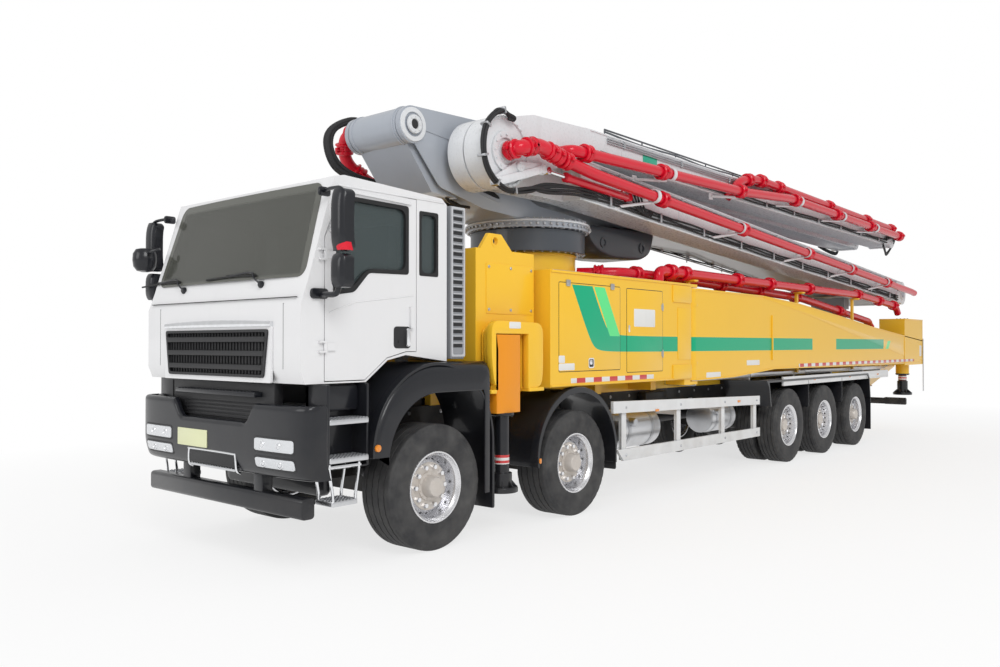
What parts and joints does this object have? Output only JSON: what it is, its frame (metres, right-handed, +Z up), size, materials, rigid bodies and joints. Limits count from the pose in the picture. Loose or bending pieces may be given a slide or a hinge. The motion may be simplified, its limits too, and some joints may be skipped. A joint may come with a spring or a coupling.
{
  "type": "truck-mounted concrete pump with folding boom",
  "caption": "Multi-axle truck with a concrete pump, a folding placing boom on a slewing turret, and sliding front and swinging rear outriggers.",
  "frame": {"origin": "on the ground at the middle of the overall length and width", "axes": "+X forward, +Y to the left of the truck, +Z up"},
  "size_m": [15.51, 2.96, 4.2398],
  "materials": {
    "black_frame": "satin black paint",
    "cast_engine": "cast iron",
    "cab_white": "gloss white paint",
    "glass": "dark tinted glass",
    "cab_trim": "grained plastic and cloth",
    "silver_step": "bare aluminium",
    "guard_white": "white paint",
    "stack_grey": "dark grey paint",
    "pump_yellow": "gloss golden yellow paint",
    "jack_black": "black paint",
    "pump_steel": "grey paint",
    "boom_grey": "light grey paint",
    "pipe_red": "gloss red paint",
    "tyre": "rubber",
    "knuckle_iron": "cast iron"
  },
  "bodies": {
    "chassis": {"air_stack": "stack_grey", "cab_glass": "glass", "cab_interior": "cab_trim", "cab_shell": "cab_white", "cab_steps": "silver_step", "deck_pipes": "pipe_red", "drive_axles": "black_frame", "engine": "cast_engine", "front_bumper": "black_frame", "front_fenders": "black_frame", "hopper": "pump_yellow", "ladder_frame": "black_frame", "mirrors": "black_frame", "pedestal": "pump_yellow", "pipe_posts": "pump_yellow", "pump_unit": "pump_steel", "rear_fenders": "black_frame", "side_boxes": "pump_yellow", "side_guards": "guard_white", "slew_guard": "stack_grey", "steer_axles": "black_frame", "tanks": "silver_step"},
    "door_left": {"door_left": "cab_white", "door_glass_left": "glass"},
    "knuckle_1_left": {"knuckle_1_left": "knuckle_iron"},
    "knuckle_2_left": {"knuckle_2_left": "knuckle_iron"},
    "wheel_1_left": {"wheel_1_left": "tyre"},
    "wheel_2_left": {"wheel_2_left": "tyre"},
    "wheel_3_left": {"wheel_3_left": "tyre"},
    "wheel_4_left": {"wheel_4_left": "tyre"},
    "wheel_5_left": {"wheel_5_left": "tyre"},
    "front_outrigger_left": {"front_outrigger_left": "pump_yellow"},
    "front_jack_left": {"front_jack_left": "jack_black"},
    "rear_outrigger_left": {"rear_outrigger_left": "pump_yellow"},
    "rear_jack_left": {"rear_jack_left": "jack_black"},
    "door_right": {"door_right": "cab_white", "door_glass_right": "glass"},
    "knuckle_1_right": {"knuckle_1_right": "knuckle_iron"},
    "knuckle_2_right": {"knuckle_2_right": "knuckle_iron"},
    "wheel_1_right": {"wheel_1_right": "tyre"},
    "wheel_2_right": {"wheel_2_right": "tyre"},
    "wheel_3_right": {"wheel_3_right": "tyre"},
    "wheel_4_right": {"wheel_4_right": "tyre"},
    "wheel_5_right": {"wheel_5_right": "tyre"},
    "front_outrigger_right": {"front_outrigger_right": "pump_yellow"},
    "front_jack_right": {"front_jack_right": "jack_black"},
    "rear_outrigger_right": {"rear_outrigger_right": "pump_yellow"},
    "rear_jack_right": {"rear_jack_right": "jack_black"},
    "turret": {"turret": "boom_grey"},
    "arm_1": {"arm_1": "boom_grey"},
    "arm_2": {"arm_2": "boom_grey", "pipe_2": "pipe_red"},
    "arm_3": {"arm_3": "boom_grey", "pipe_3": "pipe_red"},
    "arm_4": {"arm_4": "boom_grey", "pipe_4": "pipe_red"},
    "arm_5": {"arm_5": "boom_grey", "pipe_5": "pipe_red"},
    "arm_6": {"arm_6": "boom_grey"},
    "arm_7": {"arm_7": "boom_grey"}
  },
  "joints": [
    {"name": "open_door_left", "type": "hinge", "parent": "chassis", "child": "door_left", "pos_m": [7.484, 1.164, 1.7], "axis": [0, 0, -1], "range_deg": [0, 70]},
    {"name": "steer_1_left", "type": "hinge", "parent": "chassis", "child": "knuckle_1_left", "pos_m": [6.35, 0.85, 0.536], "axis": [0, 0, 1], "range_deg": [-32, 32]},
    {"name": "steer_2_left", "type": "hinge", "parent": "chassis", "child": "knuckle_2_left", "pos_m": [4.35, 0.85, 0.536], "axis": [0, 0, 1], "range_deg": [-22, 22]},
    {"name": "spin_1_left", "type": "hinge", "parent": "knuckle_1_left", "child": "wheel_1_left", "pos_m": [6.35, 1.035, 0.536], "axis": [0, 1, 0], "continuous": true},
    {"name": "spin_2_left", "type": "hinge", "parent": "knuckle_2_left", "child": "wheel_2_left", "pos_m": [4.35, 1.035, 0.536], "axis": [0, 1, 0], "continuous": true},
    {"name": "spin_3_left", "type": "hinge", "parent": "chassis", "child": "wheel_3_left", "pos_m": [-1, 1.035, 0.545], "axis": [0, 1, 0], "continuous": true},
    {"name": "spin_4_left", "type": "hinge", "parent": "chassis", "child": "wheel_4_left", "pos_m": [-2.4, 1.035, 0.545], "axis": [0, 1, 0], "continuous": true},
    {"name": "spin_5_left", "type": "hinge", "parent": "chassis", "child": "wheel_5_left", "pos_m": [-3.85, 1.035, 0.536], "axis": [0, 1, 0], "continuous": true},
    {"name": "open_door_right", "type": "hinge", "parent": "chassis", "child": "door_right", "pos_m": [7.484, -1.164, 1.7], "axis": [0, 0, 1], "range_deg": [0, 70]},
    {"name": "steer_1_right", "type": "hinge", "parent": "chassis", "child": "knuckle_1_right", "pos_m": [6.35, -0.85, 0.536], "axis": [0, 0, 1], "range_deg": [-32, 32]},
    {"name": "steer_2_right", "type": "hinge", "parent": "chassis", "child": "knuckle_2_right", "pos_m": [4.35, -0.85, 0.536], "axis": [0, 0, 1], "range_deg": [-22, 22]},
    {"name": "spin_1_right", "type": "hinge", "parent": "knuckle_1_right", "child": "wheel_1_right", "pos_m": [6.35, -1.035, 0.536], "axis": [0, 1, 0], "continuous": true},
    {"name": "spin_2_right", "type": "hinge", "parent": "knuckle_2_right", "child": "wheel_2_right", "pos_m": [4.35, -1.035, 0.536], "axis": [0, 1, 0], "continuous": true},
    {"name": "spin_3_right", "type": "hinge", "parent": "chassis", "child": "wheel_3_right", "pos_m": [-1, -1.035, 0.545], "axis": [0, 1, 0], "continuous": true},
    {"name": "spin_4_right", "type": "hinge", "parent": "chassis", "child": "wheel_4_right", "pos_m": [-2.4, -1.035, 0.545], "axis": [0, 1, 0], "continuous": true},
    {"name": "spin_5_right", "type": "hinge", "parent": "chassis", "child": "wheel_5_right", "pos_m": [-3.85, -1.035, 0.536], "axis": [0, 1, 0], "continuous": true},
    {"name": "slew", "type": "hinge", "parent": "chassis", "child": "turret", "pos_m": [3.65, 0, 3.04], "axis": [0, 0, 1], "range_deg": [-180, 180]},
    {"name": "fold_1", "type": "hinge", "parent": "turret", "child": "arm_1", "pos_m": [5.87, 0, 3.85], "axis": [0, 1, 0], "range_deg": [0, 90]},
    {"name": "fold_2", "type": "hinge", "parent": "arm_1", "child": "arm_2", "pos_m": [-7.42, 0.72, 2.8], "axis": [0, -1, 0], "range_deg": [0, 180]},
    {"name": "fold_3", "type": "hinge", "parent": "arm_2", "child": "arm_3", "pos_m": [5.15, 0.83, 3.63], "axis": [0, 1, 0], "range_deg": [0, 180]},
    {"name": "fold_4", "type": "hinge", "parent": "arm_3", "child": "arm_4", "pos_m": [-6.75, 0, 3.88], "axis": [0, -1, 0], "range_deg": [0, 180]},
    {"name": "fold_5", "type": "hinge", "parent": "arm_4", "child": "arm_5", "pos_m": [2.15, -0.54, 4.04], "axis": [0, 1, 0], "range_deg": [0, 180]},
    {"name": "fold_6", "type": "hinge", "parent": "arm_5", "child": "arm_6", "pos_m": [-6.6, -0.775, 3.2], "axis": [0, -1, 0], "range_deg": [0, 180]},
    {"name": "fold_7", "type": "hinge", "parent": "arm_6", "child": "arm_7", "pos_m": [1.5, -0.98, 3.45], "axis": [0, 1, 0], "range_deg": [0, 150]},
    {"name": "slide_front_left", "type": "slide", "parent": "chassis", "child": "front_outrigger_left", "axis": [0, 1, 0], "range_m": [0, 1.75]},
    {"name": "front_jack_left", "type": "slide", "parent": "front_outrigger_left", "child": "front_jack_left", "axis": [0, 0, -1], "range_m": [0, 0.37]},
    {"name": "swing_rear_left", "type": "hinge", "parent": "chassis", "child": "rear_outrigger_left", "pos_m": [1.85, 1.12, 1.3], "axis": [0, 0, -1], "range_deg": [0, 75]},
    {"name": "rear_jack_left", "type": "slide", "parent": "rear_outrigger_left", "child": "rear_jack_left", "axis": [0, 0, -1], "range_m": [0, 0.7]},
    {"name": "slide_front_right", "type": "slide", "parent": "chassis", "child": "front_outrigger_right", "axis": [0, -1, 0], "range_m": [0, 1.75]},
    {"name": "front_jack_right", "type": "slide", "parent": "front_outrigger_right", "child": "front_jack_right", "axis": [0, 0, -1], "range_m": [0, 0.37]},
    {"name": "swing_rear_right", "type": "hinge", "parent": "chassis", "child": "rear_outrigger_right", "pos_m": [1.85, -1.12, 1.3], "axis": [0, 0, 1], "range_deg": [0, 75]},
    {"name": "rear_jack_right", "type": "slide", "parent": "rear_outrigger_right", "child": "rear_jack_right", "axis": [0, 0, -1], "range_m": [0, 0.7]}
  ],
  "couplings": [
    {"joint": "steer_1_right", "follows": "steer_1_left", "ratio": 1},
    {"joint": "steer_2_left", "follows": "steer_1_left", "ratio": 0.6875},
    {"joint": "steer_2_right", "follows": "steer_1_left", "ratio": 0.6875}
  ]
}
